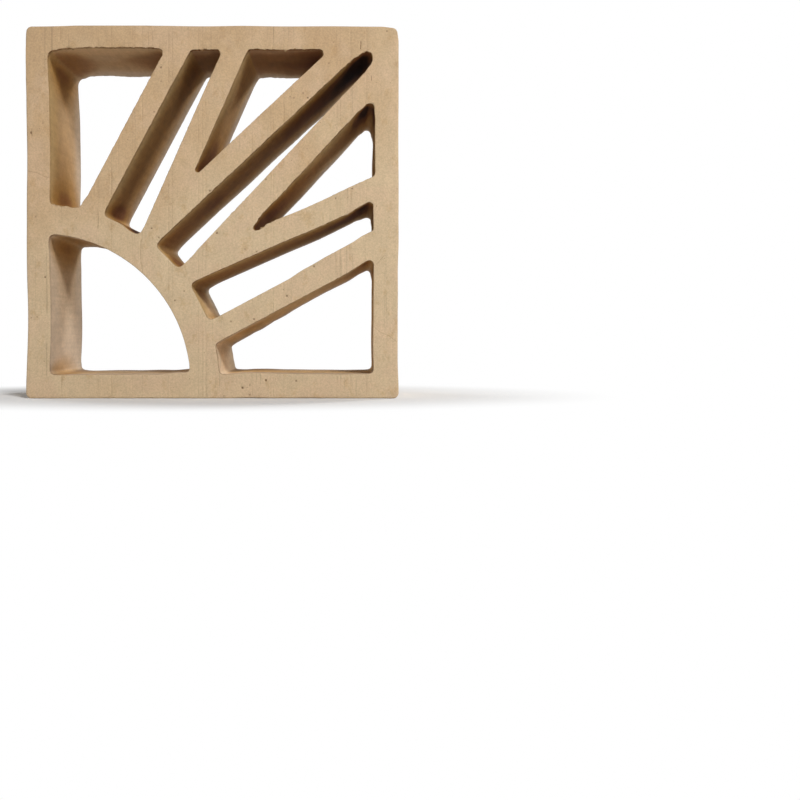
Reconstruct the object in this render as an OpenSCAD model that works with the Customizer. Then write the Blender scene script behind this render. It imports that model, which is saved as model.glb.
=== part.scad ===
// Fired clay breeze block: a square frame around a quarter sun, with forked rays and a slot to the corner.
// It stands upright on its bottom edge, with its front towards -Y and its sun in the lower left corner.
// The rays above the diagonal are given here, and the ones below it are the same, turned over the diagonal.

/* [Block] */
// Width of the block, side to side
block_w = 200; // [185:1:240]
// Height of the block
block_h = 200; // [185:1:240]
// Depth of the block, front to back, which is the length that was cut from the extruded column
block_d = 65; // [30:1:150]
// Thickness of the frame
rim_t = 12.5; // [10:0.5:15]
// Radius of the four outer corners of the frame
edge_r = 3; // [1:0.5:8]

/* [Sun] */
// Distance of the sun's centre from the left side and from the bottom of the block
sun_inset = 8; // [4:0.5:11]
// Radius of the quarter-round opening
sun_r = 80.3; // [70:0.1:84]
// Thickness of the arched web around the quarter-round opening
arch_t = 15.5; // [10:0.5:18]

/* [Rays] */
// Thickness of the single ray
ray_t = 12.1; // [8:0.1:15]
// Angle from upright, around the sun's centre, of the foot of the single ray
ray_foot = 16.5; // [14:0.1:18]
// Distance along the top from the left side to the head of the single ray
ray_head = 81.8; // [74:0.1:86]
// Thickness of the fork's inner arm
inner_arm_t = 12.6; // [8:0.1:15]
// Angle of the foot of the fork's inner arm
inner_arm_foot = 37.8; // [36:0.1:39]
// Distance along the top from the left side to the head of the fork's inner arm
inner_arm_head = 112.5; // [106:0.1:118]
// Thickness of the fork's outer arm, which runs beside the corner slot
outer_arm_t = 12.2; // [8:0.1:15]
// Angle of the foot of the fork's outer arm
outer_arm_foot = 35.8; // [34:0.1:37]
// Distance along the top from the far side to the head of the fork's outer arm
outer_arm_head = 27.8; // [26:0.1:32]

/* [Openings] */
// Radius of the openings' corners
corner_r = 2.4; // [1:0.1:3]
// Radius of the sharp tip between a fork's two arms
fork_tip_r = 1.4; // [0.5:0.1:2]
// Distance from the tip of the corner slot to where the top and the far side of the block would meet
slot_tip_wall = 20.5; // [18:0.5:30]

/* [Hidden] */
clay_colour = [0.77, 0.66, 0.53];
corner_steps = 6;
arch_steps = 40;
slot_tip_steps = 12;
sun_centre = [sun_inset, sun_inset];
arch_r = sun_r + arch_t;

// Directions and angles
function bearing(v) = atan2(v.y, v.x);
function turned(v) = [-v.y, v.x];
function next_turn(from, to) = from + ((to - from) % 360 + 360) % 360;
function round_sun(reach, angle) = sun_centre + reach * [sin(angle), cos(angle)];
function arc(centre, r, from, to, steps) =
    [for (i = [0 : steps]) let (a = from + (to - from) * i / steps) centre + r * [cos(a), sin(a)]];
function swapped(p) = [p.y, p.x];
function flipped(outline) = [for (p = outline) swapped(p)];

// A side is [n, d]: its unit normal n points into the opening, and its points p have n * p = d.
function side(n, p) = [n, n * p];

// A bar is [head, direction, thickness], and it runs from a foot on the arch to a head under the top.
function bar(foot, head, thickness) = [head, (head - foot) / norm(head - foot), thickness];
function side_of_bar(bar, n) = side(n, bar[0] + bar[2] / 2 * n);
function left_of_bar(bar) = side_of_bar(bar, turned(bar[1]));
function right_of_bar(bar) = side_of_bar(bar, -turned(bar[1]));
function single_ray(h) = bar(round_sun(arch_r, ray_foot), [ray_head, h - rim_t], ray_t);
function inner_arm(h) = bar(round_sun(arch_r, inner_arm_foot), [inner_arm_head, h - rim_t], inner_arm_t);
function outer_arm(w, h) =
    bar(round_sun(arch_r, outer_arm_foot), [w - outer_arm_head, h - rim_t], outer_arm_t);

// Point that is on both of two lines, each given as [n, d]
function meet(s, t) =
    let (n = s[0], m = t[0])
    [s[1] * m.y - t[1] * n.y, t[1] * n.x - s[1] * m.x] / (n.x * m.y - n.y * m.x);
// Centre of the circle of radius r that touches two sides
function seat(s, t, r) = meet([s[0], s[1] + r], [t[0], t[1] + r]);
// Centre of the circle that touches three sides
function seat_of_three(s, t, u) = meet(t - s, u - s);
// Centre of the circle of radius r that touches a side, at a given reach from the sun's centre.
// The way is 1 where the side runs away from the sun in the direction of its turned normal, or else -1.
function arch_seat(s, reach, r, way) =
    let (off = s[1] + r - s[0] * sun_centre)
    sun_centre + off * s[0] + way * sqrt(reach * reach - off * off) * turned(s[0]);

// Rounded corner between two sides, taken counter-clockwise
function corner(s, t, r, steps = corner_steps) =
    let (from = bearing(-s[0])) arc(seat(s, t, r), r, from, next_turn(from, bearing(-t[0])), steps);
// End of an opening on the back of the arch, from the side on its left to the side on its right
function arch_end(left, right, r) =
    let (c = arch_seat(left, arch_r + r, r, 1), e = arch_seat(right, arch_r + r, r, -1),
         toward_c = bearing(c - sun_centre), toward_e = bearing(e - sun_centre),
         from = bearing(-left[0]), to = bearing(sun_centre - e))
    concat(arc(c, r, from, next_turn(from, bearing(sun_centre - c)), corner_steps),
           arc(sun_centre, arch_r, toward_c, toward_e, corner_steps),
           arc(e, r, to, next_turn(to, bearing(-right[0])), corner_steps));

// Insides of the frame
function left_wall() = side([1, 0], [rim_t, 0]);
function bottom_wall() = side([0, 1], [0, rim_t]);
function top_wall(h) = side([0, -1], [0, h - rim_t]);

// Opening between the left side and the single ray
function side_window(h) =
    concat(arch_end(left_wall(), left_of_bar(single_ray(h)), corner_r),
           corner(left_of_bar(single_ray(h)), top_wall(h), corner_r),
           corner(top_wall(h), left_wall(), corner_r));

// Long slot between the single ray and the fork
function ray_slot(h) =
    concat(arch_end(right_of_bar(single_ray(h)), left_of_bar(inner_arm(h)), corner_r),
           corner(left_of_bar(inner_arm(h)), top_wall(h), corner_r),
           corner(top_wall(h), right_of_bar(single_ray(h)), corner_r));

// Triangle between the two arms of the fork
function fork_window(w, h) =
    concat(corner(right_of_bar(inner_arm(h)), left_of_bar(outer_arm(w, h)), fork_tip_r),
           corner(left_of_bar(outer_arm(w, h)), top_wall(h), corner_r),
           corner(top_wall(h), right_of_bar(inner_arm(h)), corner_r));

// Slot along the diagonal, with a round tip at the far corner, between the outer arms of the two forks
function corner_slot(w, h) =
    let (upper = right_of_bar(outer_arm(w, h)), other = right_of_bar(outer_arm(h, w)),
         lower = [swapped(other[0]), other[1]],
         tip = side([-1, -1] / sqrt(2), [w, h] - slot_tip_wall / sqrt(2) * [1, 1]),
         tip_r = upper[0] * seat_of_three(upper, lower, tip) - upper[1])
    concat(arch_end(upper, lower, corner_r), corner(lower, upper, tip_r, slot_tip_steps));

// Quarter-round opening inside the arch
function sun_window() =
    let (c = arch_seat(bottom_wall(), sun_r - corner_r, corner_r, -1),
         e = arch_seat(left_wall(), sun_r - corner_r, corner_r, 1),
         toward_c = bearing(c - sun_centre), toward_e = bearing(e - sun_centre), down = bearing([0, -1]))
    concat(arc(c, corner_r, down, toward_c, corner_steps),
           arc(sun_centre, sun_r, toward_c, toward_e, arch_steps),
           arc(e, corner_r, toward_e, bearing([-1, 0]), corner_steps),
           corner(left_wall(), bottom_wall(), corner_r));

// Outside of the frame
function frame_outline() =
    let (left = side([1, 0], [0, 0]), bottom = side([0, 1], [0, 0]),
         right = side([-1, 0], [block_w, 0]), top = side([0, -1], [0, block_h]))
    concat(corner(left, bottom, edge_r), corner(bottom, right, edge_r),
           corner(right, top, edge_r), corner(top, left, edge_r));

// The openings above the diagonal, and the same ones turned over to lie below it
openings = [
    side_window(block_h), ray_slot(block_h), fork_window(block_w, block_h),
    flipped(side_window(block_w)), flipped(ray_slot(block_w)), flipped(fork_window(block_h, block_w)),
    corner_slot(block_w, block_h), sun_window()
];

module breeze_block() {
    color(clay_colour)
    translate([-block_w / 2, 0, 0]) rotate([90, 0, 0])
    linear_extrude(height = block_d, center = true)
    difference() {
        polygon(frame_outline());
        for (outline = openings) polygon(outline);
    }
}

breeze_block();
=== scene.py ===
# %% [markdown]
# # A fired clay breeze block
#
# The real block is one piece. Stiff clay is pushed through a steel die that leaves eight openings in it,
# the long column is cut into lengths with a wire, and the lengths are dried and fired. So it has two kinds
# of surface: the two cut faces, which are pale, flat and scored by the wire, and the walls, which are
# smoother, darker and streaked along the way the clay moved.
#
# The solid that comes with the frame already has the right outlines. This lesson dresses it: it takes a
# copy, gives the copy enough faces, and then bows, tears, scores and pits it as wet clay is on its way to
# the kiln.

# %% Load the frame
import math
import random

import bmesh
import bpy
import numpy as np
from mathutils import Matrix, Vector
from mathutils.bvhtree import BVHTree
from mathutils.kdtree import KDTree


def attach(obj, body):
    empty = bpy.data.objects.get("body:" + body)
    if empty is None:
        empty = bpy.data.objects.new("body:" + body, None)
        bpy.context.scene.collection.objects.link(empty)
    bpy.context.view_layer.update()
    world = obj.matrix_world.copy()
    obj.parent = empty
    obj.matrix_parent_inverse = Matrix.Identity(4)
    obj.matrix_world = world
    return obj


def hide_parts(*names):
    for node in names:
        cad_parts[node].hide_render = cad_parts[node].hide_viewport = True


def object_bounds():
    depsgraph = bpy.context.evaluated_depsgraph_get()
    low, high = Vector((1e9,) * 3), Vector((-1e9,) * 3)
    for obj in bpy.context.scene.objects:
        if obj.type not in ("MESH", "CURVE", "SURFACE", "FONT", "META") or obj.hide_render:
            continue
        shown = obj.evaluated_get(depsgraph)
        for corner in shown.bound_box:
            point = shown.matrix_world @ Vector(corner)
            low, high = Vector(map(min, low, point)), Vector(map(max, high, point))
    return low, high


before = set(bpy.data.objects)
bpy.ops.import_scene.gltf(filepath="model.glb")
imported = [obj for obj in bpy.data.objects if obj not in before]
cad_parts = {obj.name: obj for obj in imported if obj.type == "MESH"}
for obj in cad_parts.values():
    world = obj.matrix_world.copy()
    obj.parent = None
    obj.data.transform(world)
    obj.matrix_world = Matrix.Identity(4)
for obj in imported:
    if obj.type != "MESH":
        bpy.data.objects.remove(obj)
solid_low, solid_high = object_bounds()
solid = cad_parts["breeze_block"]
mm = 0.001
print("solid from", [round(v, 4) for v in solid_low], "to", [round(v, 4) for v in solid_high])

# %% [markdown]
# ## The camera
#
# The photograph was taken square on to the front, from a point ahead of the block's right side and low
# down, so the walls on the left of each opening and under its top edge show. The back face shows at nine
# tenths of the front's size, and for a block 65 mm deep that puts the camera 585 mm in front of it. The
# camera isn't turned towards the block: its lens is shifted, which keeps the front square.

# %% Set the camera where the photograph was taken
picture_px = 800
block_left_px = 25.6
block_bottom_px = 398.4
px_per_mm = 1.8655
camera_from_left = 175.9 * mm
camera_height = 37.0 * mm
camera_from_front = 585 * mm

camera_data = bpy.data.cameras.new("camera")
camera = bpy.data.objects.new("camera", camera_data)
bpy.context.scene.collection.objects.link(camera)
bpy.context.scene.camera = camera
camera.location = (
    solid_low.x + camera_from_left,
    solid_low.y - camera_from_front,
    solid_low.z + camera_height,
)
camera.rotation_euler = (math.pi / 2, 0, 0)
ahead_px_x = block_left_px + px_per_mm * camera_from_left / mm
ahead_px_y = block_bottom_px - px_per_mm * camera_height / mm
camera_data.sensor_width = 36
camera_data.lens = camera_data.sensor_width * px_per_mm * camera_from_front / mm / picture_px
camera_data.shift_x = (picture_px / 2 - ahead_px_x) / picture_px
camera_data.shift_y = (ahead_px_y - picture_px / 2) / picture_px
print("lens", round(camera_data.lens, 2))
print("shift", round(camera_data.shift_x, 3), round(camera_data.shift_y, 3))

# %% [markdown]
# ## Shader maths
#
# The clay's finish is written as sums on values that vary over the surface. This small class stands for one
# output of a node. Python's own signs make Math nodes, and every other node comes from `node`.

# %% A value that varies over the surface
class Signal:
    """One output of a shader node, on which sums can be written."""

    tree = None

    def __init__(self, socket):
        self.socket = socket

    @classmethod
    def node(cls, kind, settings, inputs, output=0):
        """Adds a node, gives it its settings and then its inputs, and returns one of its outputs."""
        made = cls.tree.nodes.new(kind)
        for name, value in settings.items():
            setattr(made, name, value)
        for place, value in inputs.items():
            if isinstance(value, Signal):
                cls.tree.links.new(value.socket, made.inputs[place])
            else:
                made.inputs[place].default_value = value
        return cls(made.outputs[output]) if made.outputs else None

    @classmethod
    def maths(cls, operation, *values):
        """One sum on numbers or other outputs."""
        return cls.node("ShaderNodeMath", {"operation": operation}, dict(enumerate(values)))

    def __add__(self, other):
        return Signal.maths("ADD", self, other)

    def __radd__(self, other):
        return Signal.maths("ADD", other, self)

    def __sub__(self, other):
        return Signal.maths("SUBTRACT", self, other)

    def __rsub__(self, other):
        return Signal.maths("SUBTRACT", other, self)

    def __mul__(self, other):
        return Signal.maths("MULTIPLY", self, other)

    def __rmul__(self, other):
        return Signal.maths("MULTIPLY", other, self)

    def __abs__(self):
        return Signal.maths("ABSOLUTE", self)

    def rise(self, low, high, to_low=0.0, to_high=1.0):
        """A smooth step from to_low at low to to_high at high."""
        span = {"Value": self, "From Min": low, "From Max": high, "To Min": to_low, "To Max": to_high}
        return Signal.node("ShaderNodeMapRange", {"interpolation_type": "SMOOTHSTEP"}, span)


# %% Short words for the nodes that are used most
def begin(owner):
    """Clears the node tree of a material or a world, and makes the next nodes in it."""
    owner.use_nodes = True
    owner.node_tree.nodes.clear()
    Signal.tree = owner.node_tree
    return owner


def mixed(factor, first, second, how="MIX"):
    """Two colours mixed: first where the factor is 0, second where it is 1."""
    settings = {"data_type": "RGBA", "blend_type": how}
    return Signal.node("ShaderNodeMix", settings, {0: factor, 6: first, 7: second}, output=2)


def point(stretch=(1, 1, 1), shift=(0, 0, 0)):
    """The place on the piece in millimetres, divided by a stretch along each axis."""
    on_piece = Signal.node("ShaderNodeTexCoord", {}, {}, output="Object")
    scale = [1 / (mm * s) for s in stretch]
    return Signal.node("ShaderNodeMapping", {}, {"Vector": on_piece, "Scale": scale, "Location": shift})


def cloud(size, stretch=(1, 1, 1), detail=2.0, rough=0.5, shift=(0, 0, 0)):
    """Noise from 0 to 1 with lumps of a size in millimetres, drawn out along the axes by a stretch."""
    inputs = {"Vector": point(stretch, shift), "Scale": 1 / size, "Detail": detail, "Roughness": rough}
    return Signal.node("ShaderNodeTexNoise", {}, inputs)


# %% [markdown]
# ## The floor, the lamps and the white ground
#
# A plain pale floor carries the block. Close to the block it shows its own light and shade, so that the
# block stands on something. Further off it turns to pure white for the camera, which gives the white ground
# of the photograph without any more light on the clay.

# %% Lay the floor
floor_side = 6.0
floor_grey = (0.84, 0.84, 0.84, 1)
white = (1, 1, 1, 1)
shade_ends_between = (110, 230)
shade_stretch = (1, 0.6, 1)

bpy.ops.object.select_all(action="DESELECT")
bpy.ops.mesh.primitive_plane_add(size=floor_side, location=(0, 0, solid_low.z))
floor = bpy.context.object
floor.name = "floor"

floor.data.materials.append(begin(bpy.data.materials.new("floor_paint")))
paint = Signal.node("ShaderNodeBsdfDiffuse", {}, {"Color": floor_grey})
glare = Signal.node("ShaderNodeEmission", {}, {"Color": white})
seen = Signal.node("ShaderNodeLightPath", {}, {}, output="Is Camera Ray")
spot = point(shade_stretch)
away = Signal.node("ShaderNodeVectorMath", {"operation": "LENGTH"}, {0: spot}, output="Value")
to_white = away.rise(*shade_ends_between) * seen
shown = Signal.node("ShaderNodeMixShader", {}, {0: to_white, 1: paint, 2: glare})
Signal.node("ShaderNodeOutputMaterial", {}, {"Surface": shown})
print("floor", floor_side, "m wide")

# %% [markdown]
# Two wide soft lamps light the clay, as in the photograph: one in front on the right, and one behind on the
# right, both above it. Between them they leave a dark wedge high on the walls at the left of the big
# openings. A third one keeps the left side and the back from going dark in other views. A little light
# comes from all round. The world is white to the camera, and for the rays that glossy or clear things send
# out.

# %% Hang the lamps
lamp_away = 2.0
lamp_aim = Vector((0, 0, 0.1))


def hang_lamp(name, azimuth, elevation, width, power):
    """Hangs a round area lamp that looks at the block. Azimuth 0 is in front and 90 is on the right."""
    turn, lift = math.radians(azimuth), math.radians(elevation)
    outward = Vector((math.sin(turn) * math.cos(lift), -math.cos(turn) * math.cos(lift), math.sin(lift)))
    light = bpy.data.lights.new(name, "AREA")
    light.shape = "DISK"
    light.size = width
    light.energy = power
    lamp = bpy.data.objects.new(name, light)
    bpy.context.scene.collection.objects.link(lamp)
    lamp.location = lamp_aim + outward * lamp_away
    lamp.rotation_euler = outward.to_track_quat("Z", "Y").to_euler()
    lamp.visible_camera = False
    print("lamp", name, power, "W")


hang_lamp("front_lamp", azimuth=28, elevation=36, width=0.5, power=31)
hang_lamp("back_lamp", azimuth=130, elevation=28, width=0.5, power=16)
hang_lamp("side_lamp", azimuth=-125, elevation=25, width=1.0, power=12)

# %% Paint the world
fill_strength = 0.1

world = begin(bpy.data.worlds.new("studio"))
bpy.context.scene.world = world
kinds = [
    Signal.node("ShaderNodeLightPath", {}, {}, output=f"Is {kind} Ray")
    for kind in ("Camera", "Glossy", "Transmission")
]
plain_view = Signal.maths("MAXIMUM", Signal.maths("MAXIMUM", kinds[0], kinds[1]), kinds[2])
strength = plain_view.rise(0, 1, fill_strength, 1.0)
ground = Signal.node("ShaderNodeBackground", {}, {"Color": white, "Strength": strength})
Signal.node("ShaderNodeOutputWorld", {}, {"Surface": ground})
bpy.context.scene.view_settings.view_transform = "Standard"
print("light from all round:", fill_strength)

# %% [markdown]
# ## The clay, first as a clean prism
#
# The copy of the solid comes as loose triangles. They are merged and dissolved into a few large faces,
# because clean outlines are easier to bevel than triangles. The steel die leaves the walls crisp, but the
# wire rolls the edges of the cut faces over a little, and handling rounds the outside of the frame most.

# %% Helpers for edit mode
def only(piece):
    """Selects one piece and makes it the active one."""
    bpy.ops.object.select_all(action="DESELECT")
    piece.select_set(True)
    bpy.context.view_layer.objects.active = piece


def choose(kind, test):
    """In edit mode, selects the faces, edges or vertices for which a test on one of them is true."""
    mesh = bmesh.from_edit_mesh(bpy.context.object.data)
    bpy.ops.mesh.select_mode(type=kind)
    bpy.ops.mesh.select_all(action="DESELECT")
    parts = {"FACE": mesh.faces, "EDGE": mesh.edges, "VERT": mesh.verts}[kind]
    for part in parts:
        if test(part):
            part.select = True
    mesh.select_flush_mode()
    bmesh.update_edit_mesh(bpy.context.object.data, loop_triangles=False, destructive=False)


def count(piece):
    """The number of faces and triangles of a piece, in words."""
    faces = piece.data.polygons
    return f"{len(faces)} faces, {sum(len(face.vertices) - 2 for face in faces)} triangles"


# %% Copy the solid and clean the copy
same_spot = 0.001 * mm
flat_within = math.radians(0.5)

only(solid)
bpy.ops.object.duplicate()
block = bpy.context.object
block.name = block.data.name = "clay_block"
block.parent = None
for key in list(block.keys()):
    del block[key]
block.data.materials.clear()
bpy.ops.object.mode_set(mode="EDIT")
bpy.ops.mesh.select_all(action="SELECT")
bpy.ops.mesh.remove_doubles(threshold=same_spot)
bpy.ops.mesh.dissolve_limited(angle_limit=flat_within)
mesh = bmesh.from_edit_mesh(block.data)
print("clean copy:", len(mesh.faces), "faces")

# %% [markdown]
# The corners of the openings are needed twice further on, so they are found while they are still easy to
# tell: each is a run of narrow upright faces, side by side. Its middle, the way it looks and the angle that
# it turns by are noted.

# %% Find the corners of the openings
corner_face_width = 1 * mm
outside_zone = 4 * mm


def from_outside(spot):
    """How far a point is from the nearest of the four outer sides of the frame."""
    return min(spot.x - solid_low.x, solid_high.x - spot.x, spot.z - solid_low.z, solid_high.z - spot.z)


def is_corner_face(face):
    """True for a narrow face that runs through the depth, away from the outside of the frame."""
    narrow = face.calc_area() < corner_face_width * (solid_high.y - solid_low.y)
    return narrow and abs(face.normal.y) < 0.1 and from_outside(face.calc_center_median()) > outside_zone


def corner_from(first):
    """Walks from one corner face to those beside it, and measures the corner that they make."""
    walked.add(first.index)
    run = [first]
    for face in run:
        for edge in face.edges:
            for beside in edge.link_faces:
                if beside.index not in walked and is_corner_face(beside):
                    walked.add(beside.index)
                    run.append(beside)
    middle = sum((face.calc_center_median() for face in run), Vector()) / len(run)
    inward = sum((face.normal for face in run), Vector()).normalized()
    turn = max(face.normal.angle(end.normal) for face in run for end in (run[0], run[-1]))
    return middle, inward, turn * len(run) / max(len(run) - 1, 1)


corners, walked = [], set()
for face in mesh.faces:
    if face.index not in walked and is_corner_face(face):
        corners.append(corner_from(face))
print(len(corners), "corners, turning by", sorted(round(math.degrees(turn)) for _, _, turn in corners))

# %% Round the edges of the cut faces
outer_edge_round = 0.9 * mm
outer_edge_steps = 3
opening_edge_round = 0.28 * mm
opening_edge_steps = 2


def is_cut(face):
    """True for a face that the wire cut."""
    return abs(face.normal.y) > 0.99


def on_cut_edge(edge):
    """True for an edge between a cut face and a wall."""
    return len(edge.link_faces) == 2 and is_cut(edge.link_faces[0]) != is_cut(edge.link_faces[1])


def is_outside(edge):
    """True for an edge on the outside of the frame."""
    return from_outside((edge.verts[0].co + edge.verts[1].co) / 2) < outside_zone


choose("EDGE", lambda edge: on_cut_edge(edge) and is_outside(edge))
bpy.ops.mesh.bevel(offset=outer_edge_round, segments=outer_edge_steps, affect="EDGES")
choose("EDGE", lambda edge: on_cut_edge(edge) and not is_outside(edge))
bpy.ops.mesh.bevel(offset=opening_edge_round, segments=opening_edge_steps, affect="EDGES")
bpy.ops.object.mode_set(mode="OBJECT")
print("clean prism:", count(block))

# %% [markdown]
# ## Wire lines
#
# Grit on the cutting wire leaves fine upright lines on the cut faces. They come in pairs and threes, one
# behind the other wherever the wire crossed clay. Each line is three cuts side by side across the face, and
# a vertex group remembers the middle one, which is sunk later to make a shallow vee that comes and goes.
# The cuts are made before the face is divided up, while a cut crosses only a few large faces. The lines of
# the unseen back are thrown with a fixed seed.

# %% Score the cut faces
# Where the lines on the front are, across from the left side in mm
front_lines = [19, 38.2, 38.9, 46, 57.4, 58.6, 62.6, 76.5, 78.6, 92.6, 94.8, 96.6, 121.4, 131.4, 132.7]
front_lines += [138.4, 142.3, 166.8, 168.6, 174.2, 182.8]
back_line_count = 20
back_line_margin = 3 * mm
line_half_width = 0.25 * mm
on_the_plane = 0.01 * mm
throw = random.Random(7)


def score(x, way):
    """Scores an upright line at x over the front, where way is -1, or over the back, where it is 1."""
    for offset in (-line_half_width, line_half_width, 0):
        choose("FACE", lambda face: face.normal.y * way > 0.999)
        bpy.ops.mesh.bisect(plane_co=(x + offset, 0, 0), plane_no=(1, 0, 0), threshold=on_the_plane)
    bpy.ops.object.vertex_group_assign()


only(block)
block.vertex_groups.active = block.vertex_groups.new(name="lines")
bpy.ops.object.mode_set(mode="EDIT")
bpy.context.scene.tool_settings.vertex_group_weight = 1.0
for line in front_lines:
    score(solid_low.x + line * mm, -1)
for _ in range(back_line_count):
    score(throw.uniform(solid_low.x + back_line_margin, solid_high.x - back_line_margin), 1)
bpy.ops.object.mode_set(mode="OBJECT")
print("scored:", count(block))

# %% [markdown]
# ## More faces
#
# Soft bows and torn edges need points to move. Planes cut the whole block into cells a little over a
# millimetre wide, across the width and up the height. Along the depth the rows are close together near the
# front, where the edges are torn, and further apart inside, where the walls are plain.

# %% Divide the block
cell = 1.25 * mm
# Rows along the depth, from the front in mm
rows = [1, 2, 3.5, 6, 9, 13, 18, 24, 31, 38, 45, 52, 58, 62, 64]
short_edge = 0.16 * mm


def slice_all(spot, across):
    """Cuts the whole block by a plane through a spot, square to a direction."""
    bpy.ops.mesh.select_all(action="SELECT")
    bpy.ops.mesh.bisect(plane_co=spot, plane_no=across, threshold=on_the_plane)


only(block)
bpy.ops.object.mode_set(mode="EDIT")
bpy.ops.mesh.select_mode(type="FACE")
for axis in (0, 2):
    across = [1.0 if k == axis else 0.0 for k in range(3)]
    for number in range(round((solid_high[axis] - solid_low[axis]) / cell)):
        spot = Vector(solid_low)
        spot[axis] += (number + 0.5) * cell
        slice_all(spot, across)
for row in rows:
    slice_all((0, solid_low.y + row * mm, 0), (0, 1, 0))
bpy.ops.mesh.select_all(action="SELECT")
bpy.ops.mesh.remove_doubles(threshold=short_edge)
bpy.ops.object.mode_set(mode="OBJECT")
print("divided:", count(block))

# %% [markdown]
# ## Bows
#
# Wet clay sags and is pushed about, so nothing on the real block is quite straight: the left side leans in
# below its upper third, the top side falls away towards its ends, the first opening has a crowned top edge,
# and the rim is thicker at the lower right. Each push below takes hold of the clay at one place on the
# face, all through the depth, and draws its surroundings along with a soft fall-off, as proportional
# editing does by hand. Pushes along a straight edge reach about as far as the next one, or the edge would
# come out in waves.

# %% Push the clay
# Across and up from the lower left corner, reach of the push, and how far it goes across and up, all in mm
pushes = [
    (0, 200, 15, 0.4, 0), (0, 125, 40, 0.45, 0), (0, 42, 42, 1.1, 0), (0, 88, 28, 0.4, 0),
    (12.5, 184, 26, -1.0, 0), (12.5, 86, 14, -0.5, 0), (13.5, 186.5, 5, 0.5, -0.5),
    (4, 200, 26, 0, -0.4), (196, 200, 60, 0, -0.5), (199, 199, 7, -0.6, -0.6),
    (36, 187.5, 20, 0, 0.8), (58, 187.5, 18, 0, 0.7), (95, 187.5, 26, 0, -0.5), (140, 187.5, 30, 0, -0.5),
    (20, 104, 12, 0, 0.3), (31, 104, 5, -0.2, 0.9), (186, 104, 14, 0, 1.2), (184, 73, 12, 0, 0.6),
    (187.5, 22, 22, -1.2, 0), (187.5, 44, 22, -1.1, 0), (187.5, 66, 22, -1.0, 0), (187.5, 97, 14, -1.1, 0),
    (187.5, 140, 30, -0.2, 0),
    (40, 12.5, 18, 0, 0.3), (62, 12.5, 16, 0, 0.5), (82, 12.5, 14, 0, 1.3),
    (120, 12.5, 18, 0, 1.1), (135, 12.5, 15, 0, 0.55), (150, 12.5, 20, 0, 0.6), (167, 12.5, 16, 0, 0.4),
    (184, 12.5, 16, 0, 0.6), (138, 64, 14, -0.2, 0.35),
    (150, 70, 12, -0.4, 0.8), (162, 76, 12, -0.6, 1.1), (174, 82, 12, -0.6, 1.2), (184, 87, 9, -0.6, 1.6),
    (121, 150, 34, 0.3, -0.4), (106, 97, 24, 0.3, -0.5), (152, 104, 26, 0.2, -0.6),
    (186.8, 180, 7, -0.9, 0), (179.5, 184.8, 6, 0.6, -0.7), (121.8, 91.4, 10, 0.8, -0.9),
    (57.5, 90.3, 7, -0.3, -0.9),
]
grip = 1.3 * mm


def place(across, up):
    """The x and z of a place on the face, from millimetres across and up from the lower left corner."""
    return solid_low.x + across * mm, solid_low.z + up * mm


def push(across, up, reach, go_across, go_up, held_from=-math.inf):
    """Pulls the clay at one place, from a depth to the back, and its surroundings along with it."""
    x, z = place(across, up)
    choose("VERT", lambda vert: vert.co.y > held_from and math.hypot(vert.co.x - x, vert.co.z - z) < grip)
    bpy.ops.transform.translate(
        value=(go_across * mm, 0, go_up * mm),
        use_proportional_edit=True,
        proportional_edit_falloff="SMOOTH",
        proportional_size=reach * mm,
    )


only(block)
bpy.ops.object.mode_set(mode="EDIT")
for one in pushes:
    push(*one)
print("pushed at", len(pushes), "places")

# %% [markdown]
# The corners are filled a little, because slip stays in them when the column leaves the die. A corner is
# pulled into its opening by the middle of its curve, which makes the curve rounder. The sharp corners at
# the tips of the rays stay as they are, apart from those on the right above the middle.

# %% Fill the corners of the openings
# The radius that the corners have and how much rounder they get, in mm
corner_radius = 2.4
rounder_by = 0.9
reach_past_curve = 1.15
sharp_turn = math.radians(100)
sharper_turn_on_right = math.radians(140)
right_side, above_middle = place(180, 95)


def is_filled(middle, turn):
    """True for a corner that is blunt enough to be filled."""
    on_the_right = middle.x > right_side and middle.z > above_middle
    return turn < (sharper_turn_on_right if on_the_right else sharp_turn)


filled = [corner for corner in corners if is_filled(corner[0], corner[2])]
for middle, inward, turn in filled:
    far = rounder_by * (1 / math.cos(turn / 2) - 1)
    reach = reach_past_curve * (corner_radius + rounder_by) * math.tan(turn / 2)
    across, up = (middle.x - solid_low.x) / mm, (middle.z - solid_low.z) / mm
    push(across, up, reach, far * inward.x, far * inward.z)
print("filled", len(filled), "corners")

# %% [markdown]
# The openings also close a little towards the back, each in its own way, because the clay swells once it
# has left the die. These pushes hold only the back edge. The reach of a push is a ball, so the block is
# squeezed flat first and stretched again afterwards, which lets each push fade out slowly along the depth.

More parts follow.
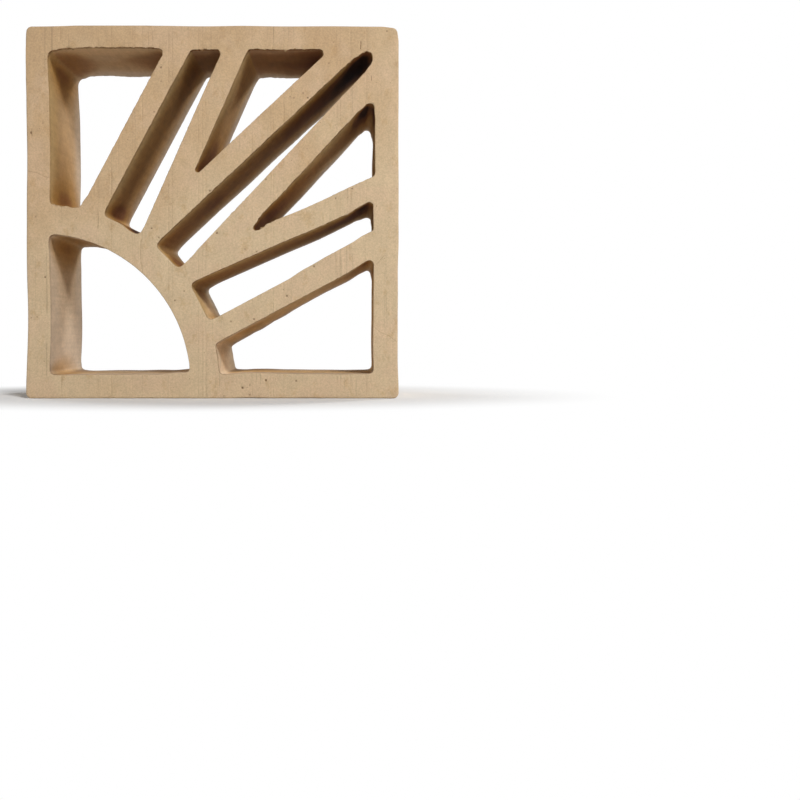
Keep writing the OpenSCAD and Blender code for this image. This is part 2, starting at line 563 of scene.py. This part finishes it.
# %% Push the back edges
# As for the pushes above, all in mm
back_pushes = [
    (12.5, 187.5, 7, 0.3, -0.5), (46, 188.5, 24, 0, -1.0), (12.5, 170, 40, 0.5, 0), (12.5, 130, 40, 0.6, 0),
    (120, 187, 6, 0.2, -0.6), (140, 188, 22, 0, -0.6), (13, 87, 10, 0.5, -1.6), (24, 87, 12, -0.2, -1.0),
    (38, 80, 14, -0.4, -0.6), (52, 69, 16, -0.4, -0.5),
    (12.5, 12.5, 8, 0.5, 0.3), (12.5, 27, 26, 0.9, 0), (12.5, 53, 26, 0.7, 0), (12.5, 79, 26, 1.0, 0),
    (70, 82, 8, 0.6, 0.2), (89, 62, 8, 0.4, -0.4), (114, 126, 30, 0.3, -0.4), (105, 13, 8, 0.5, 0.5),
    (103, 20, 14, 1.2, 0), (105, 31, 12, 0.9, -2.2), (117, 37, 12, 1.0, -1.8), (128, 44, 14, 0.8, -1.4),
    (144, 52, 16, 0.5, -0.9), (160, 60, 16, 0.4, -0.7), (176, 69, 14, 0.6, -1.1), (185, 73, 8, -1.0, -1.8),
    (136, 48, 10, 0.2, -0.35), (168, 64.5, 10, 0.2, -0.3),
    (100, 68, 25, 0.25, -0.5), (125, 79, 25, 0.25, -0.5), (150, 90, 25, 0.25, -0.5),
    (183, 104, 8, -0.8, -1.8),
    (144, 153, 30, 0.5, -0.5), (160, 169, 20, 0.6, -0.6), (187.5, 132, 26, -0.7, 0),
    (57.5, 90.3, 9, 0.3, 0.9),
    (134, 108, 26, 1.0, -1.0), (152, 127, 26, 1.1, -1.1), (170, 146, 24, 1.1, -1.1),
    (185, 157, 12, -1.2, -2.6),
]
squeeze = 0.35

bpy.ops.mesh.select_all(action="SELECT")
bpy.ops.transform.resize(value=(1, squeeze, 1), center_override=(0, 0, 0))
for one in back_pushes:
    push(*one, held_from=squeeze * (solid_high.y - grip))
bpy.ops.mesh.select_all(action="SELECT")
bpy.ops.transform.resize(value=(1, 1 / squeeze, 1), center_override=(0, 0, 0))
bpy.ops.object.mode_set(mode="OBJECT")
print("closed in at", len(back_pushes), "places")

# %% [markdown]
# ## Where the clay is torn
#
# Vertex groups say where the next modifiers act. `torn` holds the front and back edges of the openings,
# most of all those that face down, which the wire leaves ragged. `rough` holds the few spots where a crumb
# stuck or broke away. `lip_shade` holds a narrow line along the front edges of the openings, where shade is
# painted into the colour, most under the tops and in the corners. `cut` holds the two cut faces, and
# `walls` holds everything that slid along the die. The groups are worked out with arrays, because a loop
# over this many points would be slow.

# %% Helpers for arrays
def table_of(piece, name):
    """The places or the normals of all vertices, one row each."""
    table = np.empty(len(piece.data.vertices) * 3)
    piece.data.vertices.foreach_get(name, table)
    return table.reshape(-1, 3)


def smooth(values, low, high):
    """A smooth step from 0 at low to 1 at high."""
    share = np.clip((values - low) / (high - low), 0, 1)
    return share * share * (3 - 2 * share)


def near_to(x, z, full, none):
    """1 for the vertices up to one distance from a place on the face, at any depth, and 0 past another."""
    return 1 - smooth(np.hypot(spots[:, 0] - x, spots[:, 2] - z), full, none)


def group(piece, name, weights):
    """Makes a vertex group with a weight for every vertex, in steps of a hundredth."""
    made = piece.vertex_groups.new(name=name)
    steps = np.round(np.clip(weights, 0, 1) * 100).astype(int)
    for step in np.unique(steps[steps > 0]):
        made.add(np.nonzero(steps == step)[0].tolist(), step / 100, "REPLACE")


# %% Find the edges of the openings
edge_zone = 0.9 * mm
tear_width = 2.0 * mm
back_share = 0.12

spots, facing = table_of(block, "co"), table_of(block, "normal")
from_front, from_back = spots[:, 1] - solid_low.y, solid_high.y - spots[:, 1]
near_cut = np.minimum(from_front, from_back)
turned_to_cut = np.abs(facing[:, 1])
side = np.minimum.reduce([
    spots[:, 0] - solid_low.x, solid_high.x - spots[:, 0],
    spots[:, 2] - solid_low.z, solid_high.z - spots[:, 2],
])
in_opening = (side > outside_zone) & (turned_to_cut < 0.95)
lip = np.nonzero(in_opening & (near_cut < edge_zone))[0]
tree = KDTree(len(lip))
for number, vert in enumerate(lip):
    tree.insert(spots[vert], number)
tree.balance()
found = [tree.find(spot) for spot in spots]
from_lip = np.array([one[2] for one in found])
lip_down = np.clip(-facing[lip[[one[1] for one in found]], 2], 0, 1)
fade = (1 - smooth(from_lip, 0, tear_width)) * np.where(from_front < from_back, 1.0, back_share)
print("vertices along the edges:", int((fade > 0).sum()))

# %% Say which edges are torn most and which least
# Across and up in mm, reach in mm and strength of the places that are torn most
tears = [
    (99, 52, 9, 1.0), (98, 60, 5, 0.8), (20, 103, 14, 0.6), (129, 93, 9, 1.0), (88, 76, 5, 0.8),
    (111.5, 99.5, 3, 1.0), (60, 187, 22, 0.3), (95, 187, 10, 0.4), (135, 187, 20, 0.3),
]
# The edge of the arch is nearly clean: it is all that lies this near the centre of the sun
sun_x, sun_z = place(8, 8)
sun_reach = 84 * mm
arch_share = 0.2
# Below the middle the edges are cleaner than above it
cleaner_between = (70 * mm, 120 * mm)
low_share = 0.35

local = np.zeros(len(spots))
for across, up, reach, strength in tears:
    local = np.maximum(local, strength * near_to(*place(across, up), 0, reach * mm))
in_sun = np.hypot(spots[:, 0] - sun_x, spots[:, 2] - sun_z) < sun_reach
high_up = smooth(spots[:, 2], *cleaner_between)
calm = np.where(in_sun, arch_share, 1.0) * (low_share + (1 - low_share) * high_up)
print("vertices at the tears:", int((fade * local > 0).sum()))

# %% Make the groups
torn_all_round, torn_under_top = 0.09, 0.81
lip_between = (1 * mm, 3.5 * mm)
corner_between = (2 * mm, 8 * mm)
dark_all_round, dark_under_top, dark_in_corner = 0.3, 0.5, 0.3
wall_starts = 4 * mm

at_corner = np.zeros(len(spots))
for middle, _, _ in corners:
    at_corner = np.maximum(at_corner, near_to(middle.x, middle.z, *corner_between))
# Painted shade along the front edges, more under the tops and in the corners
lip_shade_weight = dark_all_round + dark_under_top * lip_down + dark_in_corner * at_corner
behind_front = in_opening & (from_front > 0.02 * mm)
group(block, "torn", fade * calm * (torn_all_round + torn_under_top * lip_down * lip_down))
group(block, "rough", fade * local)
group(block, "lip_shade", behind_front * (1 - smooth(from_front, *lip_between)) * lip_shade_weight)
group(block, "cut", smooth(turned_to_cut, 0.7, 0.98))
group(block, "walls", smooth(near_cut, 0, wall_starts) * (turned_to_cut < 0.5))
print("groups:", [one.name for one in block.vertex_groups])

# %% [markdown]
# Each Displace modifier moves one group by a cloud texture, whose lumps have a real size. Fine lumps fray
# the edges, and broad shallow ones keep the flats from being dead flat. The modifiers are applied one by
# one.

# %% Fray and dent
def dent(piece, name, where, lump, depth, direction="NORMAL", middle=0.5, kind="SOFT_NOISE"):
    """Moves one vertex group in and out by clouds whose lumps have a given size, up to a given depth."""
    texture = bpy.data.textures.new(name, "CLOUDS")
    texture.noise_scale = lump
    texture.noise_depth = 1
    texture.noise_type = kind
    modifier = piece.modifiers.new(name, "DISPLACE")
    modifier.texture = texture
    modifier.texture_coords = "LOCAL"
    modifier.vertex_group = where
    modifier.direction = direction
    modifier.strength = depth
    modifier.mid_level = middle
    bpy.ops.object.modifier_apply(modifier=name)


only(block)
dent(block, "frayed_edge", "torn", 0.8 * mm, 4.0 * mm)
dent(block, "bitten_edge", "torn", 5 * mm, 0.6 * mm)
dent(block, "crumbs", "rough", 2.4 * mm, 2.6 * mm, kind="HARD_NOISE", middle=0.4)
dent(block, "eroded_edge", "rough", 1.6 * mm, 3.2 * mm, middle=0.55)
dent(block, "wire_lines", "lines", 9 * mm, -0.7 * mm, middle=0.4)
dent(block, "uneven_cut", "cut", 26 * mm, 0.3 * mm, direction="Y")
dent(block, "sandy_cut", "cut", 3 * mm, 0.08 * mm, direction="Y")
dent(block, "uneven_wall", "walls", 15 * mm, 0.2 * mm)
print("frayed and dented:", count(block))

# %% [markdown]
# ## Pits and hairline cracks
#
# Small stones that the wire plucked out leave pits: a face is inset and pushed in. The rim opened in two
# places as the block dried, and the wire left short nicks, which are made as cracks too. A crack is scored
# like a wire line, but only the faces along its way are cut. The unseen back has the same kind of pits,
# thrown like its lines.

# %% Pit the faces
# Across and up from the lower left corner and width, all in mm
pits = [
    (3.1, 142.5, 0.7), (8.5, 147.4, 0.6), (72.5, 177.5, 0.6), (72, 170.5, 0.4), (149.4, 164, 0.7),
    (162.3, 179.7, 0.6), (143, 161.4, 0.6), (151.8, 161.4, 0.4), (193.8, 196.3, 0.8), (10.9, 65.6, 0.6),
    (129, 9.1, 0.8), (145.1, 9.1, 0.7), (116.1, 6.2, 0.9), (120.7, 7.2, 0.5), (120.9, 1.8, 0.9),
    (106.4, 1.6, 0.7), (166.1, 107.6, 0.7), (174.2, 113, 0.6), (139.8, 54.9, 0.8), (67.3, 91.8, 0.6),
    (72.5, 86, 0.6), (84.5, 57.5, 0.5), (80.4, 52.4, 0.5), (102.7, 88.5, 0.7), (117.6, 80.6, 0.6),
    (122, 42, 0.6), (109.8, 40.8, 0.7), (154.6, 70.2, 0.6), (99, 111.6, 0.9), (128.2, 117.6, 0.9),
    (124.5, 76.6, 0.4), (6, 44, 0.4), (5.5, 97.6, 0.5), (69, 153.2, 0.4), (164.8, 190.6, 0.5),
]
# Depth of a pit 1 mm wide
pit_depth = 0.4 * mm
# How dark a pit is painted, with dirt and painted shade
pit_darkness_between = (0.35, 0.95)
back_pit_count = 26
back_pit_width_between = (0.4, 0.9)
full_face = 0.6 * cell * cell
furthest_face = 3 * mm


def nearest_face(spot, facing_way):
    """The nearest face of full size that faces a given way, or None."""
    mesh = bmesh.from_edit_mesh(bpy.context.object.data)
    best, best_gap = None, furthest_face
    for face in mesh.faces:
        if face.normal.dot(facing_way) > 0.98 and face.calc_area() > full_face:
            gap = (face.calc_center_median() - spot).length
            if gap < best_gap:
                best, best_gap = face.index, gap
    return best


def pit(spot, facing_way, width):
    """Sinks a pit into the face nearest to a spot, and says whether there was one."""
    target = nearest_face(spot, facing_way)
    if target is None:
        return False
    choose("FACE", lambda face: face.index == target)
    bpy.ops.mesh.inset(thickness=(cell - width * mm) / 2, depth=-pit_depth * width)
    bpy.context.scene.tool_settings.vertex_group_weight = throw.uniform(*pit_darkness_between)
    bpy.ops.object.vertex_group_assign()
    return True


block.vertex_groups.active = block.vertex_groups.new(name="scar")
bpy.ops.object.mode_set(mode="EDIT")
made = 0
for across, up, width in pits:
    x, z = place(across, up)
    made += pit(Vector((x, solid_low.y, z)), Vector((0, -1, 0)), width)
for _ in range(back_pit_count):
    spot = Vector((throw.uniform(solid_low.x, solid_high.x), solid_high.y, throw.uniform(0, solid_high.z)))
    made += pit(spot, Vector((0, 1, 0)), throw.uniform(*back_pit_width_between))
bpy.ops.object.mode_set(mode="OBJECT")
print(made, "pits")

# %% Crack the rims
# The points of each crack, across and up in mm, then its half width and depth in mm and how dark it is,
# with dirt and painted shade
cracks = [
    ([(0.6, 122), (6, 120.9), (9.5, 119), (12.8, 118.2)], 0.4, 0.15, 0.4),
    ([(186.4, 38.6), (190, 35.6), (195, 33.4), (199.4, 30)], 0.4, 0.12, 0.4),
    ([(61.9, 86), (61.7, 77), (62, 69.3)], 0.22, 0.35, 0.8),
    ([(38.5, 102), (38.8, 96), (38.6, 90.6)], 0.2, 0.25, 0.7),
    ([(179.6, 191.4), (179.5, 187)], 0.35, 0.6, 1.0),
    ([(185.5, 172.8), (185.3, 170.2)], 0.3, 0.4, 0.8),
    ([(3.3, 144), (3.4, 140.8)], 0.3, 0.4, 0.8),
    ([(78.6, 102.4), (78.7, 97.4)], 0.25, 0.3, 0.8),
    ([(192, 76.4), (189, 73)], 0.2, 0.2, 0.5),
    ([(66.2, 189), (66, 187.6)], 0.3, 0.4, 0.8),
]
crack_reach = 1.1 * cell
crack_overlap = 0.2 * mm
on_the_crack = 0.02 * mm


def crack_piece(start, end, half_width, depth):
    """Scores one straight piece of a crack over the front, and sinks its middle line."""
    way = (end - start).normalized()
    across = Vector((way.z, 0, -way.x))
    length = (end - start).length

    def beside(face):
        gap = face.calc_center_median() - start
        gap.y = 0
        within = -crack_overlap < gap.dot(way) < length + crack_overlap
        return face.normal.y < -0.9 and within and abs(gap.dot(across)) < crack_reach

    for offset in (-half_width, half_width, 0):
        choose("FACE", beside)
        bpy.ops.mesh.bisect(plane_co=start + across * offset, plane_no=across, threshold=on_the_crack)
    bpy.ops.object.vertex_group_assign()
    bpy.ops.transform.translate(value=(0, depth, 0))


bpy.ops.object.mode_set(mode="EDIT")
for points, half_width, depth, darkness in cracks:
    bpy.context.scene.tool_settings.vertex_group_weight = darkness
    line = [Vector((x, 0, z)) for x, z in (place(*one) for one in points)]
    for start, end in zip(line, line[1:]):
        crack_piece(start, end, half_width * mm, depth * mm)
bpy.ops.object.mode_set(mode="OBJECT")
print(len(cracks), "cracks:", count(block))

# %% Keep the block inside its own box and shade it smooth
crisp_angle = math.radians(40)

before = table_of(block, "co")
spots = np.clip(before, solid_low, solid_high)
block.data.vertices.foreach_set("co", spots.ravel())
block.data.update()
only(block)
bpy.ops.object.shade_smooth_by_angle(angle=crisp_angle)
print("furthest point outside the box was out by", round(float(np.abs(before - spots).max()) / mm, 2), "mm")

# %% [markdown]
# ## What the finish needs to know
#
# Three values go with every point of the mesh. `scar` is high in the pits, cracks and wire lines, where the
# colour is darker, partly dirt and partly painted shade.
# `lip` is high just behind the front edges of the openings, where shade is painted into the colour.
# `shelter` says how much of the sky the clay around a point hides. Where it is high, in the narrow ends
# of the openings, shade is painted into the colour, darker and browner. It is measured by sending rays out
# from each point.

# %% Measure the shelter
ray_count = 40
ray_start = 0.4 * mm

# The rays fan out over the half of the sky that a point looks at, most of them close to its middle
turns = (np.arange(ray_count) + 0.5) / ray_count
spread = np.sqrt(turns)
angles = np.arange(ray_count) * math.pi * (3 - math.sqrt(5))
fan = np.stack([spread * np.cos(angles), spread * np.sin(angles), np.sqrt(1 - turns)], axis=1)

facing = table_of(block, "normal")
clay_around = BVHTree.FromObject(block, bpy.context.evaluated_depsgraph_get())
shelter = np.zeros(len(spots))
for vert in np.nonzero(np.abs(facing[:, 1]) < 0.8)[0]:
    outward = facing[vert]
    across = np.cross(outward, (0, 1, 0))
    across /= np.linalg.norm(across)
    rays = fan @ np.array([across, np.cross(outward, across), outward])
    start = Vector(spots[vert] + outward * ray_start)
    shelter[vert] = sum(clay_around.ray_cast(start, Vector(ray))[0] is not None for ray in rays) / ray_count
print("shelter on the walls:", round(float(shelter[shelter > 0].mean()), 3))

# %% [markdown]
# So few rays leave the values uneven, so each point takes the mean with its neighbours along the walls, a
# few times over.

# %% Smooth the shelter along the walls
smoothing_rounds = 4

ends = np.empty(len(block.data.edges) * 2, dtype=int)
block.data.edges.foreach_get("vertices", ends)
starts, stops = np.concatenate([ends[0::2], ends[1::2]]), np.concatenate([ends[1::2], ends[0::2]])
both = (shelter[starts] > 0) & (shelter[stops] > 0)
starts, stops = starts[both], stops[both]
neighbours = np.bincount(starts, minlength=len(shelter))
for _ in range(smoothing_rounds):
    around = np.bincount(starts, weights=shelter[stops], minlength=len(shelter))
    shelter = np.where(neighbours > 0, (shelter + around) / (1 + neighbours), shelter)
print("smoothed", smoothing_rounds, "times")

# %% [markdown]
# Painted shade doesn't follow the shelter alone. A few corners get more painted shade than their shelter
# gives, some of them only behind the front edge, and a few get less, which paints light there.

# %% Add painted shade that the shelter doesn't give
# Across and up in mm, reach in mm and how much the shelter changes there
painted_shade_spots = [
    (14, 180, 24, 0.18), (15, 84, 18, 0.14), (90, 187, 30, -0.02), (86, 160, 24, -0.05),
    (135, 187, 30, 0.05), (181, 178, 26, 0.13), (13, 140, 50, 0.05), (17, 106, 20, 0.13),
    (14, 14, 12, 0.06), (99, 104, 16, 0.06), (13, 42, 34, -0.18), (105, 22, 20, -0.5),
    (97, 52, 16, -0.3), (64, 124, 30, 0.05), (112, 157, 24, -0.1), (160, 135, 26, -0.08),
    (57, 92, 9, 0.28), (79.5, 76.5, 9, 0.2), (99, 44, 8, 0.2), (45, 101, 10, 0.12), (52, 95.5, 10, 0.16),
]
# The same for painted shade behind the front edge
front_painted_shade_spots = [
    (184, 155, 16, 0.3), (183, 101, 14, 0.2), (184, 71, 12, 0.15), (120, 90, 12, 0.1), (181, 184, 14, 0.08),
    (14, 14, 12, 0.12),
]
front_shade_depth = 45 * mm

in_front = 1 - smooth(spots[:, 1], solid_low.y, solid_low.y + front_shade_depth)
for places, share in ((painted_shade_spots, 1.0), (front_painted_shade_spots, in_front)):
    for across, up, reach, strength in places:
        # More painted shade at these places, or painted light where the strength is below 0
        shelter += strength * share * (shelter > 0) * near_to(*place(across, up), 0, reach * mm)
print("slip at", len(painted_shade_spots) + len(front_painted_shade_spots), "places")

# %% Hand the values to the finish
given = {"scar": np.zeros(len(spots)), "lip": np.zeros(len(spots)), "shelter": shelter}
shares = {}
# The scar value carries dirt and painted shade into the pits, cracks and wire lines
for name, value, share in (("scar", "scar", 1.0), ("lines", "scar", 0.3), ("lip_shade", "lip", 1.0)):
    shares[block.vertex_groups[name].index] = (given[value], share)
for vert in block.data.vertices:
    for held in vert.groups:
        if held.group in shares:
            values, share = shares[held.group]
            values[vert.index] = max(values[vert.index], share * held.weight)
block.vertex_groups.clear()
for name, values in given.items():
    attribute = block.data.attributes.new(name, "FLOAT", "POINT")
    attribute.data.foreach_set("value", values.astype(np.float32))
    print(name, "up to", round(float(values.max()), 2))

# %% [markdown]
# ## The finish of the cut faces
#
# The clay is matt and sandy all over. Its body is mottled, because it was mixed from several clays, and it
# is paler round the sun and on the right, and yellower along the left and the top. The cut faces carry
# hair-fine upright scratches that come and go, finer than the mesh can hold.

# %% Colours of the cut faces
pale_clay = (0.60, 0.455, 0.287, 1)
pink_clay = (0.612, 0.436, 0.284, 1)
ochre_clay = (0.53, 0.36, 0.205, 1)
stain = (0.44, 0.27, 0.12, 1)
# Dirt, also used for painted shade in the scars and along the back edge
dirt_and_shade = (0.17, 0.10, 0.05, 1)


def tinted(colour, amount):
    """A colour made darker or paler by a number near 1."""
    grey = Signal.node("ShaderNodeCombineColor", {}, {0: amount, 1: amount, 2: amount})
    return mixed(1.0, colour, grey, "MULTIPLY")


def along(axis, shift=(0, 0, 0)):
    """How far a point lies along one axis, in millimetres. The middle of the block's foot is at 0."""
    return Signal.node("ShaderNodeSeparateXYZ", {}, {0: point(shift=shift)}, output=axis)


def scratches(height):
    """Hair-fine upright scratches, dark ones and pale ones, and all a little darker near the top."""
    here_and_there = cloud(20, (1, 1, 1.6), detail=2).rise(0.48, 0.62)
    dark_hair = cloud(1.0, (1, 1, 60), detail=1).rise(0.65, 0.72) * here_and_there
    pale_hair = cloud(1.0, (1, 1, 60), detail=1, shift=(8, 2, 4)).rise(0.66, 0.76) * here_and_there
    hair = dark_hair.rise(0, 1, 1.0, 0.83) * pale_hair.rise(0, 1, 1.0, 1.07)
    return hair * height.rise(130, 200, 1.0, 0.96)


def cut_colour():
    """Pale clay, mottled with ochre and pink, with stains, specks and scratches."""
    across, height = along("X"), along("Z")
    inside = height.rise(110, 190, 1, 0.25) * height.rise(8, 24, 0.3, 1)
    lean = across.rise(-70, 10, 0, 0.25) * inside
    lean = lean + across.rise(50, 100, 0, 0.15) + height.rise(60, 130, 0.45, 0.05)
    patches = (cloud(34, detail=3, shift=(7, 0, 3)) * 0.6 + lean).rise(0.3, 0.85)
    body = mixed(patches, ochre_clay, pale_clay)
    body = mixed(cloud(22, detail=3, shift=(3, 1, 9)).rise(0.45, 0.65, 0, 0.5), body, pink_clay)
    stains = cloud(7, (1, 1, 1.4), detail=5, rough=0.7, shift=(2, 6, 1)).rise(0.54, 0.68)
    body = mixed(stains * 0.35, body, stain)
    mottle = cloud(5, (1, 1, 1.5), detail=4, rough=0.65).rise(0.3, 0.7, 0.96, 1.04)
    sand = cloud(0.95, detail=3, rough=0.8).rise(0.3, 0.7, 0.89, 1.11)
    body = tinted(body, mottle * sand * scratches(height))
    specks = cloud(1.1, (1, 1, 1.4), detail=1, shift=(5, 5, 5)).rise(0.72, 0.79)
    return mixed(specks * 0.6, body, dirt_and_shade)


# %% [markdown]
# ## The finish of the walls
#
# The walls slid along steel. Behind the front edge lies a yellower band, where the cut drew slip round the
# corner. It is nearly as pale as the cut face inside the sun and low down, and pinker under the top of the
# frame. Deeper in, the clay is browner on the left and warmer on the right, and towards the back it turns
# grey. Inside the sun the lower walls are paler, except where they face up. Where the other openings end
# low down on the arch, light is painted in: the walls there are palest of all, and their painted shade is
# less.

# %% Bands along the walls
wall_band = (0.56, 0.375, 0.17, 1)
wall_pale = (0.63, 0.48, 0.325, 1)
wall_pink = (0.60, 0.40, 0.215, 1)
wall_clay = (0.575, 0.41, 0.245, 1)
wall_warm = (0.69, 0.475, 0.245, 1)
wall_grey = (0.56, 0.43, 0.30, 1)
wall_paler_in_sun = (0.63, 0.50, 0.37, 1)
wall_foot_light = (0.75, 0.58, 0.395, 1)
# How far from the front the band ends and the grey starts, in mm
band_ends_between = (9, 26)
grey_starts_between = (46, 58)


def banded_clay(depth, height, upward, in_sun, at_foot):
    """Clean wall clay, with its bands along the depth, its paler places, and painted light at the foot of
    the arch.
    """
    # Paler inside the sun and low down
    paler_place = Signal.maths("MAXIMUM", in_sun, height.rise(30, 48, 1, 0))
    band = mixed(paler_place, wall_band, wall_pale)
    band = mixed(upward.rise(-0.95, -0.8, 1, 0) * height.rise(120, 150), band, wall_pink)
    inner = mixed(along("X").rise(-30, 15), wall_clay, wall_warm)
    body = mixed(depth.rise(*band_ends_between), band, inner)
    body = mixed(depth.rise(*grey_starts_between), body, wall_grey)
    body = mixed(in_sun * height.rise(10, 90, 1, 0) * upward.rise(0.3, 0.6, 1, 0), body, wall_paler_in_sun)
    return mixed(at_foot * 0.9, body, wall_foot_light)


# %% [markdown]
# In the narrow ends of the openings, which the shelter value finds, shade is painted into the colour:
# brown, then umber, and nearly black in the very corners. Under the top of the frame more painted shade
# makes it darker still, most of all in the narrow openings, right from the front edge. Walls that face up
# carry dirt towards the back. The outer sides of the frame, where nothing gives shelter, have a plain buff
# skin, and shade is painted along the outermost millimetre at the back everywhere.

# %% Painted shade and dirt
# Colours of the painted shade in the narrow ends of the openings
wall_shade_brown = (0.40, 0.205, 0.048, 1)
shade_umber = (0.20, 0.065, 0.02, 1)
deep_shade = (0.05, 0.017, 0.007, 1)
outer_skin = (0.56, 0.415, 0.26, 1)
# The shelter at which each of them sets in and is full
shade_brown_between = (0.55, 0.9)
shade_umber_between = (0.86, 0.96)
deep_shade_between = (0.97, 1.08)
skin_ends_between = (0.02, 0.12)
# Heights between which the top of the frame starts, and places across right of which openings are narrow
top_starts_between = (176, 184)
narrow_from_between = (-22, -12)
# How far from the front the painted shade along the back edge starts and is full, in mm
back_edge_shade_between = (63.4, 64.6)


def painted_shade_and_dirt(body, hidden, depth, height, upward):
    """Wall clay with painted shade where it is hidden and under the top of the frame, and dirt where it
    faces up.
    """
    # Painted shade: brown where the shelter is high
    body = mixed(hidden.rise(*shade_brown_between, 0, 0.9), body, wall_shade_brown)
    # Painted shade under the top of the frame, most in the narrow openings, right from the front edge
    under_top_shade = upward.rise(-0.9, -0.5, 1, 0) * height.rise(*top_starts_between)
    body = mixed(under_top_shade * hidden.rise(0.66, 0.78, 0, 0.42), body, shade_umber)
    narrow_top_shade = under_top_shade * along("X").rise(*narrow_from_between)
    body = mixed(narrow_top_shade * depth.rise(-3, 30, 0.65, 0.1), body, shade_umber)
    # More painted shade: umber, then nearly black in the very corners
    body = mixed(hidden.rise(*shade_umber_between, 0, 0.75), body, shade_umber)
    body = mixed(hidden.rise(*deep_shade_between, 0, 0.95), body, deep_shade)
    return mixed(upward.rise(0.6, 0.95) * depth.rise(18, 60, 0, 0.6), body, dirt_and_shade)


# %% Colours of the walls
# Shifts that put the sun's centre and the front face at 0, in mm
sun_shift = (-sun_x / mm, 0, -sun_z / mm)
front_shift = (0, -solid_low.y / mm, 0)
# Between these distances from the sun's centre its opening ends, the arch ends and the rays start, in mm
sun_ends_between = (84, 90)
arch_ends_between = (91, 94)
rays_start_between = (96.5, 100)


def wall_colour(sheltered, upward):
    """Smooth clay with bands along the depth, painted shade in the corners and along the back edge, and
    faint streaks.
    """
    wander = cloud(16, detail=3)
    height = along("Z")
    true_depth = along("Y", front_shift)
    depth = true_depth + wander * 6 - 3
    out, up = along("X", sun_shift), along("Z", sun_shift)
    from_sun = Signal.maths("SQRT", out * out + up * up)
    in_sun = from_sun.rise(*sun_ends_between, 1, 0)
    at_foot = from_sun.rise(*arch_ends_between) * from_sun.rise(*rays_start_between, 1, 0)
    at_foot = at_foot * height.rise(25, 52, 1, 0)
    # Less painted shade at the foot of the arch
    hidden = sheltered + wander * 0.06 - 0.03 - at_foot * 0.3
    body = banded_clay(depth, height, upward, in_sun, at_foot)
    body = painted_shade_and_dirt(body, hidden, depth, height, upward)
    body = mixed(sheltered.rise(*skin_ends_between), outer_skin, body)
    # Painted shade along the back edge of the walls
    body = mixed(true_depth.rise(*back_edge_shade_between, 0, 0.6), body, dirt_and_shade)
    streaks = cloud(1.8, (1, 30, 1), detail=3, rough=0.6).rise(0.3, 0.7, 0.96, 1.04)
    mottle = cloud(4, (1, 2, 1), detail=4, rough=0.65).rise(0.3, 0.7, 0.92, 1.08)
    sand = cloud(1.4, detail=2, rough=0.7).rise(0.3, 0.7, 0.95, 1.05)
    return tinted(body, streaks * mottle * sand)


# %% [markdown]
# The two finishes meet where the surface turns from the cut face into the wall. Over both lie the painted
# shade of the lips and the dirt and painted shade in the scars, broken up by a fine cloud so that neither
# is an even line. Grains too small for the mesh are a bump.

# %% Fire the clay
matt = 0.93
weak_shine = 0.2
sand_height = 0.07
lip_shade_brown = (0.16, 0.075, 0.027, 1)


def carried(name):
    """A value that goes with every point of the mesh."""
    return Signal.node("ShaderNodeAttribute", {"attribute_name": name}, {}, output="Fac")


clay = begin(bpy.data.materials.new("fired_clay"))
normal = Signal.node("ShaderNodeTexCoord", {}, {}, output="Normal")
cut_face = abs(Signal.node("ShaderNodeSeparateXYZ", {}, {0: normal}, output="Y")).rise(0.45, 0.85)
upward = Signal.node("ShaderNodeSeparateXYZ", {}, {0: normal}, output="Z")
colour = mixed(cut_face, wall_colour(carried("shelter"), upward), cut_colour())
patchy = cloud(1.2, detail=2)
# Painted shade just behind the front edges of the openings
colour = mixed(carried("lip") * patchy.rise(0.3, 0.6, 0.6, 1.0), colour, lip_shade_brown)
# Dirt and painted shade in the pits, cracks and wire lines
colour = mixed(carried("scar").rise(0, 0.9) * patchy.rise(0.3, 0.6, 0.4, 1.0), colour, dirt_and_shade)
grains = cloud(1.0, detail=3, rough=0.7)
bump = Signal.node("ShaderNodeBump", {}, {"Strength": 1.0, "Distance": mm, "Height": grains * sand_height})
shader = Signal.node(
    "ShaderNodeBsdfPrincipled",
    {},
    {"Base Color": colour, "Roughness": matt, "Specular IOR Level": weak_shine, "Normal": bump},
)
Signal.node("ShaderNodeOutputMaterial", {}, {"Surface": shader})
block.data.materials.append(clay)
print("the finish has", len(clay.node_tree.nodes), "nodes")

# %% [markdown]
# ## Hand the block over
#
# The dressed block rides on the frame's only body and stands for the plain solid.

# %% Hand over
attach(block, "root")
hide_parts("breeze_block")
